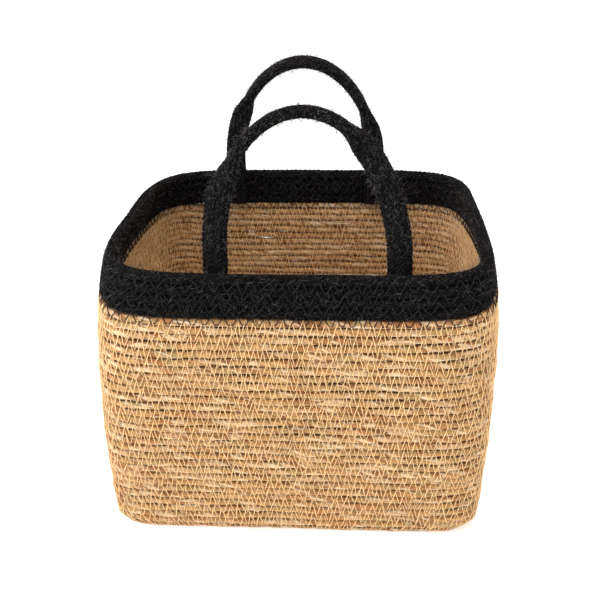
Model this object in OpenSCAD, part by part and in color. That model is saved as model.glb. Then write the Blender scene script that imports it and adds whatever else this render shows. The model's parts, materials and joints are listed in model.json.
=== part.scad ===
// Seagrass storage basket with a black jute rim band and two plaited jute handles.
// Millimetres, +Z up, origin at the middle of the underside. X runs along the wide side,
// and the front handle is on the -Y side.

/* [Basket] */
// Outside width of the rim, along X
rim_width = 300; // [260:2:340]
// Outside depth of the rim, along Y
rim_depth = 280; // [250:2:320]
// Height from the floor to the top of the rim
rim_height = 225; // [200:1:250]
// How far the soft wall swells past the rim's outline at half height
belly_bulge = 5; // [0:0.5:16]
// How far the soft left and right sides swell between their corners, below the band
side_swell = 10; // [0:0.5:18]
// Radius of the turn from the base into the wall
foot_radius = 10; // [9:0.5:20]
// Squareness of the rim's left corners, as a superellipse power
corner_left = 4.7; // [3.5:0.1:8]
// Squareness of the rim's right corners, as a superellipse power
corner_right = 5.9; // [3.5:0.1:8]
// Squareness of the left corners at the floor
base_corner_left = 16; // [5:0.5:20]
// Squareness of the right corners at the floor
base_corner_right = 11; // [5:0.5:20]

/* [Seagrass rope] */
// Number of rope courses from the floor to the band
rope_courses = 30; // [26:1:34]
// Thickness of the rope through the wall
rope_thick = 8; // [6:0.5:10]

/* [Jute band] */
// Number of black cords stacked in the band
band_courses = 4; // [4:1:4]
// Height of the band
band_height = 33; // [28:0.5:38]
// Thickness of the black cord through the wall
cord_thick = 9; // [8:0.5:11]

/* [Handles] */
// Distance between the centres of a handle's legs
handle_span = 133; // [110:1:150]
// Height of the top of a handle above the rim, before it leans
handle_rise = 114.5; // [100:0.5:140]
// Lean of a standing handle towards the inside, in degrees
handle_lean = 11; // [0:0.5:20]
// How far the front handle sits to the right of the middle, seen from the front
front_shift = 11; // [0:0.5:12]
// How far the top of the front handle sags to the left of its legs, seen from the front
front_sway = 3.5; // [0:0.5:8]
// How far the back handle sits to the right of the middle, seen from the back
back_shift = 3.5; // [0:0.5:12]
// Width of the plaited strap
strap_width = 18.4; // [15:0.2:22]
// Thickness of the plaited strap
strap_thick = 9.2; // [8:0.1:9.6]
// Thickness of a strap end where it is sewn down flat
sewn_thick = 6; // [5:0.1:6.4]

/* [Stitching] */
// How far the sewing thread stands proud of the rope
thread_thick = 0.5; // [0.4:0.1:0.8]
// Height of one row of zigzag stitches
thread_band = 3; // [2:0.5:5]
// Seams between one modelled row of seagrass stitches and the next
seams_per_row = 2; // [1:1:5]

/* [Hidden] */

seagrass = "#c79c6d";
jute = "#201e1f";
cream_thread = "#e6c58c";
black_thread = "#2b2829";

// Outline of the basket
// Angles of the outline's points, with two more in the middle of each side
outline_turns = concat(
    [0.8], [for (i = [0:19]) 4.5 + 9 * i], [179.2, 180.8], [for (i = [20:39]) 4.5 + 9 * i], [359.2]
);
half_width = rim_width / 2;
half_depth = rim_depth / 2;

// Heights
wall_height = rim_height - band_height;
rope_pitch = wall_height / rope_courses;
cord_pitch = band_height / band_courses;

// Base
base_thick = rope_thick;
base_inset = foot_radius - sqrt(foot_radius ^ 2 - (foot_radius - rope_pitch / 2) ^ 2) + rope_thick;
base_turns = 20;

// Handle: the strap folds about an axis just above the rim, near the strap's inner face
knuckle_radius = 7;
knuckle_clearance = 0.5;
fold_height = rim_height + knuckle_radius + knuckle_clearance;
band_lean = atan((grow(wall_height + cord_pitch / 2) - grow(rim_height - cord_pitch / 2))
    / ((band_courses - 1) * cord_pitch));
band_grow = grow(rim_height - cord_pitch / 2);
leg_reach = max(front_shift, back_shift) + (handle_span + strap_width) / 2;
leg_power = min(corner_left, corner_right);
// How far the band's inner face curves in by the outer edge of the furthest leg
leg_sag = (half_depth - cord_thick + band_grow)
    * (1 - (1 - (leg_reach / (half_width - cord_thick + band_grow)) ^ leg_power) ^ (1 / leg_power));
end_clearance = 0.5;
strap_outer = half_depth - cord_thick + band_grow - cord_pitch * tan(band_lean) - leg_sag - end_clearance;
fold_depth = strap_outer - knuckle_radius;
strap_offset = strap_thick / 2 - knuckle_radius;
arch_spring = rim_height + 10;
arch_rise = handle_rise - 10 - strap_thick / 2;
arch_steps = 30;
section_points = 12;
section_power = 2.6;
// Heights above the rim between which a strap rolls from flat to on edge, at its left and right
// leg, each handle seen from its own side
front_rolls = [[50, 84], [80, 102]];
back_rolls = [[30, 76], [54, 82]];
end_height = band_height - 2;
corner_round = 3;
tack_line = 1.6;
tack_margin = 2.4;

// How far the outline at height z stands outside the rim's outline
function belly(z) = 4 * belly_bulge * z / rim_height * (1 - z / rim_height);
function foot_inset(z) = z < foot_radius ? foot_radius - sqrt(foot_radius ^ 2 - (foot_radius - z) ^ 2) : 0;
function grow(z) = belly(z) - foot_inset(z);
function swell(z) = side_swell * sin(180 * (z / rim_height) ^ 2);

// Superellipse outline at height z, pulled in by inset. The sides swell by extra more than swell(z).
function power_at(z, low, high) = low + (high - low) * z / rim_height;
function signed_power(v, p) = sign(v) * pow(abs(v), p);
function outline(z, inset, extra = 0) = [
    for (turn = outline_turns)
        let (
            exponent = 2 / (cos(turn) > 0
                ? power_at(z, base_corner_right, corner_right)
                : power_at(z, base_corner_left, corner_left)),
            across = signed_power(cos(turn), exponent),
            along = signed_power(sin(turn), exponent),
            side = (swell(z) + extra) * (1 - along ^ 2) ^ 2
        )
        [(half_width + grow(z) + side - inset) * across, (half_depth + grow(z) - inset) * along]
];

// A ring from height low to high, whose shape is the basket's outline at height at
module course(at, low, high, outer_inset, inner_inset) {
    translate([0, 0, low])
        linear_extrude(high - low)
            difference() {
                polygon(outline(at, outer_inset));
                polygon(outline(at, inner_inset));
            }
}

module base_coil() {
    color(seagrass)
        linear_extrude(base_thick)
            polygon(outline(rope_pitch / 2, base_inset - foot_inset(rope_pitch / 2)));
}

// Rings of thread over the seams between the turns of the base, on its upper face
module base_stitching() {
    color(cream_thread)
        for (turn = [1:seams_per_row:base_turns - 1])
            let (inset = base_inset - foot_inset(rope_pitch / 2) + turn * rope_pitch)
                course(rope_pitch / 2, base_thick, base_thick + thread_thick,
                    inset - thread_band / 2, inset + thread_band / 2);
}

module wall_coil() {
    color(seagrass)
        union()
            for (k = [0:rope_courses - 1])
                course((k + 0.5) * rope_pitch, k * rope_pitch, (k + 1) * rope_pitch, 0, rope_thick);
}

// A ring of thread round the outside of the seam at height z. It starts from the larger and
// squarer of the two courses' outlines, less both courses.
module outer_seam(z, pitch) {
    below = z - pitch / 2;
    above = z + pitch / 2;
    proud = max(grow(below), grow(above)) - grow(below);
    extra = max(swell(below), swell(above)) - swell(below);
    translate([0, 0, z - thread_band / 2])
        linear_extrude(thread_band)
            difference() {
                polygon(outline(below, -proud - thread_thick, extra));
                polygon(outline(below, 0));
                polygon(outline(above, 0));
            }
}

// The same on the inside, up to the smaller and rounder of the two inner outlines
module inner_seam(z, pitch, wall) {
    below = z - pitch / 2;
    above = z + pitch / 2;
    proud = min(grow(below), grow(above)) - grow(above);
    extra = min(swell(below), swell(above)) - swell(above);
    translate([0, 0, z - thread_band / 2])
        linear_extrude(thread_band)
            difference() {
                intersection() {
                    polygon(outline(below, wall));
                    polygon(outline(above, wall));
                }
                polygon(outline(above, wall - proud + thread_thick, extra));
            }
}

module wall_outer_stitching() {
    color(cream_thread)
        for (k = [1:seams_per_row:rope_courses - 1])
            outer_seam(k * rope_pitch, rope_pitch);
}

module wall_inner_stitching() {
    color(cream_thread)
        for (k = [3:seams_per_row:rope_courses - 1])
            inner_seam(k * rope_pitch, rope_pitch, rope_thick);
}

module rim_cord(k) {
    low = wall_height + (k - 1) * cord_pitch;
    color(jute)
        course(low + cord_pitch / 2, low, low + cord_pitch, 0, cord_thick);
}

module rim_outer_stitching() {
    color(black_thread)
        for (k = [0:band_courses - 1])
            outer_seam(wall_height + k * cord_pitch, cord_pitch);
}

// The rows on the inside are broken where the strap ends are sewn over them
module rim_inner_stitching() {
    color(black_thread)
        difference() {
            for (k = [0:band_courses - 1])
                inner_seam(wall_height + k * cord_pitch, cord_pitch, cord_thick);
            for (handle = [[0, front_shift], [180, back_shift]], side = [-1, 1])
                rotate([0, 0, handle[0]])
                    translate([handle[1] + side * handle_span / 2, -half_depth, rim_height - band_height / 2])
                        cube([strap_width + 1, 2 * (cord_thick + sewn_thick), 2 * band_height], center = true);
        }
}

// A flat rounded plate standing in the plane of a strap end, thickness from 0 to thick along +Y
module end_plate(width, height, thick, round) {
    rotate([90, 0, 0])
        translate([0, 0, -thick])
            linear_extrude(thick)
                union() {
                    square([width - 2 * round, height], center = true);
                    square([width, height - 2 * round], center = true);
                    for (x = [-1, 1], y = [-1, 1])
                        translate([x * (width / 2 - round), y * (height / 2 - round)])
                            circle(round, $fn = 24);
                }
}

// Places its children on the front of the band's leaning inner face, at one leg of a handle
module at_sewn_end(side, shift) {
    translate([shift + side * handle_span / 2, -strap_outer, rim_height])
        rotate([-band_lean, 0, 0])
            translate([0, 0, -end_height / 2])
                children();
}

module sewn_end(side, shift) {
    color(jute)
        at_sewn_end(side, shift)
            end_plate(strap_width, end_height, sewn_thick, corner_round);
}

// A box of stitches that holds the strap end to the band
module tack_stitches(side, shift) {
    color(black_thread)
        at_sewn_end(side, shift)
            translate([0, sewn_thick, 0])
                difference() {
                    end_plate(strap_width - 2 * tack_margin, end_height - 2 * tack_margin, thread_thick, 1);
                    translate([0, -1, 0])
                        end_plate(strap_width - 2 * (tack_margin + tack_line),
                            end_height - 2 * (tack_margin + tack_line), thread_thick + 2, 1);
                }
}

// Strap centreline: straight legs, then half an ellipse that sways sideways. Each station is
// [x, z, roll, offset in y, half width, half thickness], measured from the fold axis in y.
function smooth(v) = let (c = min(1, max(0, v))) c * c * (3 - 2 * c);
function roll_at(range, z) = 90 * smooth((z - rim_height - range[0]) / (range[1] - range[0]));
function knuckle_station(side, drop) =
    let (
        far = -sqrt(knuckle_radius ^ 2 - drop ^ 2),
        near = strap_thick - knuckle_radius
    )
    [side * handle_span / 2, fold_height - drop, 0, (far + near) / 2, strap_width / 2, (near - far) / 2];
function arch_station(angle, rolls, sway) =
    let (
        x = -handle_span / 2 * cos(angle),
        z = arch_spring + arch_rise * sin(angle)
    )
    [
        x - sway * sin(90 * sin(angle)), z, roll_at(x < 0 ? rolls[0] : rolls[1], z),
        strap_offset, strap_width / 2, strap_thick / 2
    ];
knuckle_drops = [6.4, 5, 2.5, 0];
function stations(rolls, sway) = concat(
    [for (d = knuckle_drops) knuckle_station(-1, d)],
    [for (i = [0:arch_steps]) arch_station(180 * i / arch_steps, rolls, sway)],
    [for (k = [len(knuckle_drops) - 1:-1:0]) knuckle_station(1, knuckle_drops[k])]
);
function heading(line, i) =
    let (
        a = line[max(0, i - 1)],
        b = line[min(len(line) - 1, i + 1)],
        d = [b[0] - a[0], b[1] - a[1]]
    )
    d / norm(d);
function section_point(line, i, j) =
    let (
        s = line[i],
        h = heading(line, i),
        turn = 360 * (j + 0.5) / section_points,
        across = s[4] * signed_power(cos(turn), 2 / section_power),
        through = s[5] * signed_power(sin(turn), 2 / section_power),
        out = across * cos(s[2]) - through * sin(s[2]),
        depth = across * sin(s[2]) + through * cos(s[2])
    )
    [s[0] - h[1] * out, s[3] + depth, s[1] + h[0] * out];

module handle_arch(rolls, sway) {
    line = stations(rolls, sway);
    rings = len(line);
    points = [for (i = [0:rings - 1], j = [0:section_points - 1]) section_point(line, i, j)];
    sides = [
        for (i = [0:rings - 2], j = [0:section_points - 1])
            let (
                n = (j + 1) % section_points,
                a = i * section_points + j,
                b = i * section_points + n
            )
            each [[a, b, b + section_points], [a, b + section_points, a + section_points]]
    ];
    first_cap = [for (j = [section_points - 1:-1:0]) j];
    last_cap = [for (j = [0:section_points - 1]) (rings - 1) * section_points + j];
    polyhedron(points, concat(sides, [first_cap, last_cap]));
}

// The arch leans in about its fold axis
module handle_strap(shift, rolls, sway) {
    color(jute)
        translate([shift, -fold_depth, fold_height])
            rotate([-handle_lean, 0, 0])
                translate([0, 0, -fold_height])
                    handle_arch(rolls, sway);
}

// The back handle is made at the front and turned half a turn about Z
module on_back() {
    rotate([0, 0, 180])
        children();
}

base_coil();
base_stitching();
wall_coil();
wall_outer_stitching();
wall_inner_stitching();
rim_cord(1);  // rim_cord_1
rim_cord(2);  // rim_cord_2
rim_cord(3);  // rim_cord_3
rim_cord(4);  // rim_cord_4
rim_outer_stitching();
rim_inner_stitching();
sewn_end(-1, front_shift);  // front_left_handle_end
sewn_end(1, front_shift);  // front_right_handle_end
on_back() sewn_end(1, back_shift);  // back_left_handle_end
on_back() sewn_end(-1, back_shift);  // back_right_handle_end
tack_stitches(-1, front_shift);  // front_left_tack_stitches
tack_stitches(1, front_shift);  // front_right_tack_stitches
on_back() tack_stitches(1, back_shift);  // back_left_tack_stitches
on_back() tack_stitches(-1, back_shift);  // back_right_tack_stitches
handle_strap(front_shift, front_rolls, front_sway);  // front_handle_strap
on_back() handle_strap(back_shift, back_rolls, 0);  // back_handle_strap
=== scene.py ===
import json
import math

import bmesh
import bpy
import numpy as np
from bpy.props import FloatProperty, FloatVectorProperty, IntProperty, PointerProperty
from mathutils import Matrix, Vector


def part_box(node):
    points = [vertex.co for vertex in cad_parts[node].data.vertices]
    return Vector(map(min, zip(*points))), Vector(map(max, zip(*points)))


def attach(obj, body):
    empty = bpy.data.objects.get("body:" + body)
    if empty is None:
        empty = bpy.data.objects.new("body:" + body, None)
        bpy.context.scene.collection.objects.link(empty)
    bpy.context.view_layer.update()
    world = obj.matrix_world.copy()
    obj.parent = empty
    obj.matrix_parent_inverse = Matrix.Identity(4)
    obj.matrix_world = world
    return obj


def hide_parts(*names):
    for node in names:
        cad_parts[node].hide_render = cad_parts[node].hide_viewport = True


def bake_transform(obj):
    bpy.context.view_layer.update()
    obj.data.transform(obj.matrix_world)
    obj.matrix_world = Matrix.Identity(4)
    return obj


bl_info = {
    "name": "Seagrass storage basket",
    "version": (1, 0, 0),
    "blender": (4, 5, 0),
    "location": "3D View > Sidebar > Basket",
    "description": "Builds a coiled seagrass basket with a black jute band and two plaited handles",
    "category": "Object",
}

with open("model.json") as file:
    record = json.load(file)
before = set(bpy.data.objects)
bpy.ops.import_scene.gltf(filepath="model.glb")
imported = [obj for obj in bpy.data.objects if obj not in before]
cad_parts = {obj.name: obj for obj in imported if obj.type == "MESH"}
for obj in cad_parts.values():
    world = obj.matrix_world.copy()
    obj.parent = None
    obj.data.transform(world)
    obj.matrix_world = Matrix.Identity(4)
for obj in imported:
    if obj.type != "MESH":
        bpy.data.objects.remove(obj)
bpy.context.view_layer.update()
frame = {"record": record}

MM = 0.001

# Heights that the frame gives
WALL_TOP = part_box("wall_coil")[1][2]
RIM_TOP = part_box("rim_cord_4")[1][2]
BASE_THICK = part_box("base_coil")[1][2]
BASE_HALF_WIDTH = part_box("base_coil")[1][0]
BASE_HALF_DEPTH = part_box("base_coil")[1][1]
FOLDS = {joint["name"]: Vector(joint["pos_m"]) for joint in frame["record"]["behaviour"]["joints"]}


# ---------------------------------------------------------------- settings


class BasketShape(bpy.types.PropertyGroup):
    """Outline of the basket. The rim's outline swells to the belly and turns in at the foot."""

    rim_width: FloatProperty(
        name="Rim width", description="Outside width of the rim", default=0.300, unit="LENGTH")
    rim_depth: FloatProperty(
        name="Rim depth", description="Outside depth of the rim", default=0.280, unit="LENGTH")
    belly: FloatProperty(
        name="Belly", description="Swell of the wall past the rim at half height",
        default=0.005, unit="LENGTH")
    foot: FloatProperty(
        name="Foot radius", description="Radius of the turn from the base into the wall",
        default=0.010, unit="LENGTH")
    corner_left: FloatProperty(
        name="Left corners", description="Superellipse power of the rim's left corners", default=4.7)
    corner_right: FloatProperty(
        name="Right corners", description="Superellipse power of the rim's right corners", default=5.9)
    base_corner_left: FloatProperty(
        name="Left base corners", description="Squareness of the left corners at the floor", default=16.0)
    base_corner_right: FloatProperty(
        name="Right base corners", description="Squareness of the right corners at the floor", default=11.0)
    swell: FloatProperty(
        name="Side swell", description="How far the left and right sides swell between their corners",
        default=0.010, unit="LENGTH")


class RopeSettings(bpy.types.PropertyGroup):
    """The seagrass rope and the thread that sews its turns together."""

    courses: IntProperty(name="Courses", description="Rope courses from floor to band", default=30)
    base_turns: IntProperty(name="Base turns", description="Turns of rope in the base", default=20)
    thick: FloatProperty(
        name="Rope thickness", description="Thickness of the rope through the wall",
        default=0.008, unit="LENGTH")
    step: FloatProperty(
        name="Ring spacing", description="Distance between the rope's rings", default=0.0025, unit="LENGTH")
    seed: IntProperty(name="Seed", description="Seed of the rope's lumps and strays", default=7)
    thread: FloatProperty(
        name="Thread radius", description="Radius of the sewing thread", default=0.0003, unit="LENGTH")
    stitch: FloatProperty(
        name="Stitch", description="Length of one zigzag along the seam", default=0.0076, unit="LENGTH")
    grass: FloatVectorProperty(
        name="Seagrass", description="Colour of most blades", subtype="COLOR", default=(0.62, 0.385, 0.170))
    pale: FloatVectorProperty(
        name="Pale blades", description="Colour of bleached blades", subtype="COLOR",
        default=(0.76, 0.585, 0.375))
    cream: FloatVectorProperty(
        name="Thread", description="Colour of the cream thread", subtype="COLOR",
        default=(0.85, 0.575, 0.30))


class JuteSettings(bpy.types.PropertyGroup):
    """The plaited black jute of the band and the handles."""

    band_courses: IntProperty(name="Band courses", description="Cords stacked in the band", default=4)
    cord_thick: FloatProperty(
        name="Cord thickness", description="Thickness of a band cord through the wall",
        default=0.009, unit="LENGTH")
    cord_lay: FloatProperty(
        name="Cord lay", description="Length of one turn of a strand round a band cord",
        default=0.027, unit="LENGTH")
    strap_width: FloatProperty(
        name="Strap width", description="Width of a handle strap", default=0.0184, unit="LENGTH")
    strap_thick: FloatProperty(
        name="Strap thickness", description="Thickness of a handle strap", default=0.0092, unit="LENGTH")
    strap_lay: FloatProperty(
        name="Strap lay", description="Length of one turn of a strand round a strap",
        default=0.044, unit="LENGTH")
    sewn_thick: FloatProperty(
        name="Sewn end", description="Thickness of a strap end where it is sewn down",
        default=0.006, unit="LENGTH")
    strand: FloatProperty(
        name="Strand radius", description="Radius of one jute strand", default=0.0014, unit="LENGTH")
    black: FloatVectorProperty(
        name="Black jute", description="Colour of the dyed jute", subtype="COLOR",
        default=(0.0006, 0.0005, 0.0006))
    # Painted highlight: the colour of fibre ends where light catches them.
    fibre_highlight: FloatVectorProperty(
        name="Fibre ends", description="Colour of fibres that catch the light", subtype="COLOR",
        default=(0.125, 0.119, 0.124))


class StageSettings(bpy.types.PropertyGroup):
    """Camera, lights and floor."""

    azimuth: FloatProperty(
        name="Azimuth", description="Camera's turn to the right of the front",
        default=math.radians(3.693), subtype="ANGLE")
    elevation: FloatProperty(
        name="Elevation", description="Camera's height above the horizon",
        default=math.radians(25.971), subtype="ANGLE")
    roll: FloatProperty(
        name="Roll", description="Turn of the camera about its own axis",
        default=math.radians(-0.829), subtype="ANGLE")
    distance: FloatProperty(
        name="Distance", description="Camera's distance from its target", default=0.8097, unit="LENGTH")
    target_x: FloatProperty(
        name="Aim", description="Target's place along X", default=-0.0029, unit="LENGTH")
    lens: FloatProperty(name="Lens", description="Focal length in millimetres", default=53.93)
    shift: FloatProperty(name="Shift", description="Camera's vertical shift", default=0.0564)


def shape():
    return bpy.context.scene.basket_shape


def rope_settings():
    return bpy.context.scene.basket_rope


def jute_settings():
    return bpy.context.scene.basket_jute


# ---------------------------------------------------------------- outline


def smooth(v):
    v = np.clip(v, 0.0, 1.0)
    return v * v * (3 - 2 * v)


def belly(z):
    """How far the wall at height z stands outside the rim's outline."""
    return 4 * shape().belly * z / RIM_TOP * (1 - z / RIM_TOP)


def swell(z):
    """How far the middles of the left and right sides swell at height z."""
    return shape().swell * math.sin(math.pi * (z / RIM_TOP) ** 2)


def unit(v):
    return v / np.maximum(np.linalg.norm(v, axis=-1, keepdims=True), 1e-12)


SPAN = 1200  # places round an outline in a table
DENSE = 9600
START_TURN = 3 * math.pi / 4  # every outline starts at the back left corner


def superellipse(half_width, half_depth, z, side_swell):
    """SPAN + 1 evenly spaced points and outward directions of the outline's shape at height z."""
    s = shape()
    angle = START_TURN + np.linspace(0, 2 * math.pi, DENSE + 1)
    low = np.where(np.cos(angle) > 0, s.base_corner_right, s.base_corner_left)
    high = np.where(np.cos(angle) > 0, s.corner_right, s.corner_left)
    power = low + (high - low) * z / RIM_TOP
    fx = np.sign(np.cos(angle)) * np.abs(np.cos(angle)) ** (2 / power)
    fy = np.sign(np.sin(angle)) * np.abs(np.sin(angle)) ** (2 / power)
    x, y = (half_width + side_swell * (1 - fy ** 2) ** 2) * fx, half_depth * fy
    run = np.concatenate([[0], np.cumsum(np.hypot(np.diff(x), np.diff(y)))])
    even = np.linspace(0, run[-1], SPAN + 1)
    nx = np.sign(fx) * np.abs(fx) ** (power - 1) / half_width
    ny = np.sign(fy) * np.abs(fy) ** (power - 1) / half_depth
    pick = [np.interp(even, run, values) for values in (x, y, nx, ny)]
    flat = np.zeros(SPAN + 1)
    return np.stack([pick[0], pick[1], flat], 1), unit(np.stack([pick[2], pick[3], flat], 1)), run[-1]


class Sheet:
    """A surface given by a stack of outlines. at(c, u) gives the place, the outward direction and the
    direction across the courses, at course c (a fraction counts) and u of the way round."""

    def __init__(self, outlines, first=0):
        self.first = first
        self.place, self.out, self.across, lengths = (np.array(part) for part in zip(*outlines))
        self.length = float(np.mean(lengths))

    def at(self, c, u):
        c = np.clip(np.asarray(c, float) - self.first, 0, len(self.place) - 1.000001)
        u = np.mod(np.asarray(u, float), 1.0) * SPAN
        i, j = c.astype(int), u.astype(int)
        fc, fu = (c - i)[..., None], (u - j)[..., None]

        def pick(table):
            low = table[i, j] * (1 - fu) + table[i, j + 1] * fu
            high = table[i + 1, j] * (1 - fu) + table[i + 1, j + 1] * fu
            return low * (1 - fc) + high * fc

        return pick(self.place), unit(pick(self.out)), unit(pick(self.across))


UP = np.array([0.0, 0.0, 1.0])


def level_outline(half_width, half_depth, z, tilt=math.pi / 2):
    """One outline of a Sheet. tilt is the angle from facing down (0) to facing outwards (pi / 2)."""
    flat, out, length = superellipse(half_width, half_depth, z, swell(z))
    place = flat + UP * z
    facing = out * math.sin(tilt) - UP * math.cos(tilt)
    across = out * math.cos(tilt) + UP * math.sin(tilt)
    return place, facing, across, length


FOOT_COURSES = 2  # courses that turn round the foot
FOOT_START = 3.2 * MM


def wall_sheet():
    """The middle of the wall's rope: round the foot, then up to the band."""
    s, r = shape(), rope_settings()
    turn_radius = s.foot - r.thick / 2
    pitch = WALL_TOP / r.courses
    tilts = [(FOOT_START + k * pitch) / turn_radius for k in range(FOOT_COURSES)]
    foot_top = s.foot - turn_radius * math.cos(tilts[-1])
    rise = (WALL_TOP - pitch / 2 - foot_top) / (r.courses - FOOT_COURSES)
    outlines = []
    for k in range(-1, r.courses + 1):
        if k < FOOT_COURSES:
            tilt = max(0.0, (FOOT_START + k * pitch) / turn_radius)
            z = s.foot - turn_radius * math.cos(tilt)
            inset = s.foot - turn_radius * math.sin(tilt)
        else:
            tilt = math.pi / 2
            z = foot_top + (k - FOOT_COURSES + 1) * rise
            inset = r.thick / 2
        grow = belly(z) - inset
        outlines.append(level_outline(s.rim_width / 2 + grow, s.rim_depth / 2 + grow, z, tilt))
    return Sheet(outlines, first=-1)


def base_sheet():
    """The middle of the base's rope, from the foot inwards. It faces down."""
    r = rope_settings()
    pitch = WALL_TOP / r.courses
    outlines = []
    for k in range(-1, r.base_turns + 2):
        inset = (k + 0.5) * pitch
        half_width = max(BASE_HALF_WIDTH - inset, 1.5 * MM)
        half_depth = max(BASE_HALF_DEPTH - inset, 1.0 * MM)
        place, out, across, length = level_outline(half_width, half_depth, BASE_THICK / 2)
        down = np.broadcast_to(-UP, place.shape)
        outlines.append((place, down, -out, length))
    return Sheet(outlines, first=-1)


def band_lean():
    """Inward lean of the band at the middle of the front and the back."""
    j = jute_settings()
    pitch = (RIM_TOP - WALL_TOP) / j.band_courses
    drop = belly(WALL_TOP + pitch / 2) - belly(RIM_TOP - pitch / 2)
    return math.atan(drop / ((j.band_courses - 1) * pitch))


def band_sheet():
    """The middle of the band's cords, with one outline below the band."""
    s, j = shape(), jute_settings()
    pitch = (RIM_TOP - WALL_TOP) / j.band_courses
    lean = band_lean()
    outlines = []
    for k in range(-1, j.band_courses + 1):
        z = WALL_TOP + (k + 0.5) * pitch
        grow = belly(z) - j.cord_thick / 2
        outlines.append(level_outline(s.rim_width / 2 + grow, s.rim_depth / 2 + grow, z, math.pi / 2 + lean))
    return Sheet(outlines, first=-1)


# ---------------------------------------------------------------- mesh making


def link(name, mesh):
    piece = bpy.data.objects.new(name, mesh)
    bpy.context.scene.collection.objects.link(piece)
    return piece


def swept_mesh(name, paths, radius, corners, closed=False):
    """Tubes along paths as one mesh. Its vertices run ring by ring along each path."""
    curve = bpy.data.curves.new(name, "CURVE")
    curve.dimensions = "3D"
    curve.bevel_depth = radius
    curve.bevel_resolution = (corners - 4) // 2
    for path in paths:
        spline = curve.splines.new("POLY")
        spline.points.add(len(path) - 1)
        spline.points.foreach_set("co", np.column_stack([path, np.ones(len(path))]).ravel())
        spline.use_cyclic_u = closed
    holder = link(name + ".path", curve)
    bpy.context.view_layer.update()
    mesh = bpy.data.meshes.new_from_object(holder.evaluated_get(bpy.context.evaluated_depsgraph_get()))
    bpy.data.objects.remove(holder)
    bpy.data.curves.remove(curve)
    mesh.name = name
    mesh.materials.clear()
    return mesh


def read_rings(mesh, corners):
    places = np.empty(len(mesh.vertices) * 3, np.float32)
    mesh.vertices.foreach_get("co", places)
    return places.reshape(-1, corners, 3).astype(float)


def write_rings(mesh, rings):
    mesh.vertices.foreach_set("co", rings.astype(np.float32).ravel())
    mesh.update()


def set_attribute(mesh, name, values):
    """Stores one number, or one vector, per vertex."""
    if values.ndim == 1:
        layer = mesh.attributes.new(name, "FLOAT", "POINT")
        layer.data.foreach_set("value", values.astype(np.float32))
    else:
        layer = mesh.attributes.new(name, "FLOAT_VECTOR", "POINT")
        layer.data.foreach_set("vector", values.astype(np.float32).ravel())


def close_ends(mesh, corners):
    """Closes the open ends of tubes and shades the mesh smooth."""
    model = bmesh.new()
    model.from_mesh(mesh)
    edges = [edge for edge in model.edges if edge.is_boundary]
    if edges:
        bmesh.ops.holes_fill(model, edges=edges, sides=corners)
    for face in model.faces:
        face.smooth = True
    model.to_mesh(mesh)
    model.free()


def ring_turns(rings, centre, first, second):
    """Angle of every ring vertex, from direction first towards direction second."""
    offset = rings - centre[:, None, :]
    return np.arctan2(
        np.einsum("rci,ri->rc", offset, second), np.einsum("rci,ri->rc", offset, first))


def finished(name, mesh, material, body, slot, *nodes):
    """Makes a mesh a piece that rides on a body and stands for CAD nodes."""
    mesh.materials.append(material)
    piece = link(name, mesh)
    if body:
        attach(piece, body)
    if nodes:
        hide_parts(*nodes)
    return piece


# ---------------------------------------------------------------- seagrass rope


SWELL_SPACING = 13 * MM  # between one thick or thin place of the rope and the next
BULGE_SPACING = 6.5 * MM  # between one bulge on the rope's side and the next
SLIP_SPACING = 30 * MM  # between changes in the tightness of the twist
BLADE_LAY = 88 * MM  # length of one turn of a blade round the rope
SWELL_SHARE = 0.055
BULGE_SHARE = 0.06


class Lumps:
    """Smooth random numbers along a rope, and along and round it."""

    AROUND = 8

    def __init__(self, seed, length):
        draw = np.random.default_rng(seed)
        self.swell = draw.normal(size=int(length / SWELL_SPACING) + 4)
        self.bulge = draw.normal(size=(int(length / BULGE_SPACING) + 4, self.AROUND))
        self.slip = draw.normal(size=int(length / SLIP_SPACING) + 4)

    @staticmethod
    def along(values, s, spacing):
        place = np.clip(s / spacing, 0, len(values) - 1.001)
        i = place.astype(int)
        f = smooth(place - i)
        return values[i] * (1 - f) + values[i + 1] * f

    def size(self, s, turn):
        """Share by which the rope is thicker or thinner at length s and angle turn."""
        swell = SWELL_SHARE * self.along(self.swell, s, SWELL_SPACING)
        around = np.mod(turn / (2 * math.pi), 1.0) * self.AROUND
        j = around.astype(int) % self.AROUND
        f = smooth(around - np.floor(around))
        place = np.clip(s / BULGE_SPACING, 0, len(self.bulge) - 1.001)
        i = place.astype(int)
        g = smooth(place - i)
        low = self.bulge[i, j] * (1 - g) + self.bulge[i + 1, j] * g
        k = (j + 1) % self.AROUND
        high = self.bulge[i, k] * (1 - g) + self.bulge[i + 1, k] * g
        return 1 + swell + BULGE_SHARE * (low * (1 - f) + high * f)

    def twist(self, s):
        """Turn of the blades about the rope's middle."""
        return -2 * math.pi * s / BLADE_LAY + 0.8 * self.along(self.slip, s, SLIP_SPACING)


LOBES = 5
LOBE_DEPTH = 0.045
ROPE_CORNERS = 16
STEP_OVER = 0.055  # share of a turn in which the coil climbs to the next course


def climb(u):
    """How much of a course the coil has climbed at u of its turn."""
    return smooth((np.asarray(u) - (1 - STEP_OVER)) / STEP_OVER)


def drift(c, u, seed=0.0):
    """Slow wave of the courses up and down, in courses."""
    turn = 2 * math.pi * u
    return (0.07 * np.sin(5 * turn + 0.9 * c + seed) + 0.05 * np.sin(9 * turn - 0.55 * c + 2.1)
            + 0.045 * np.sin(17 * turn + 1.3 * c + 4.4))


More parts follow.
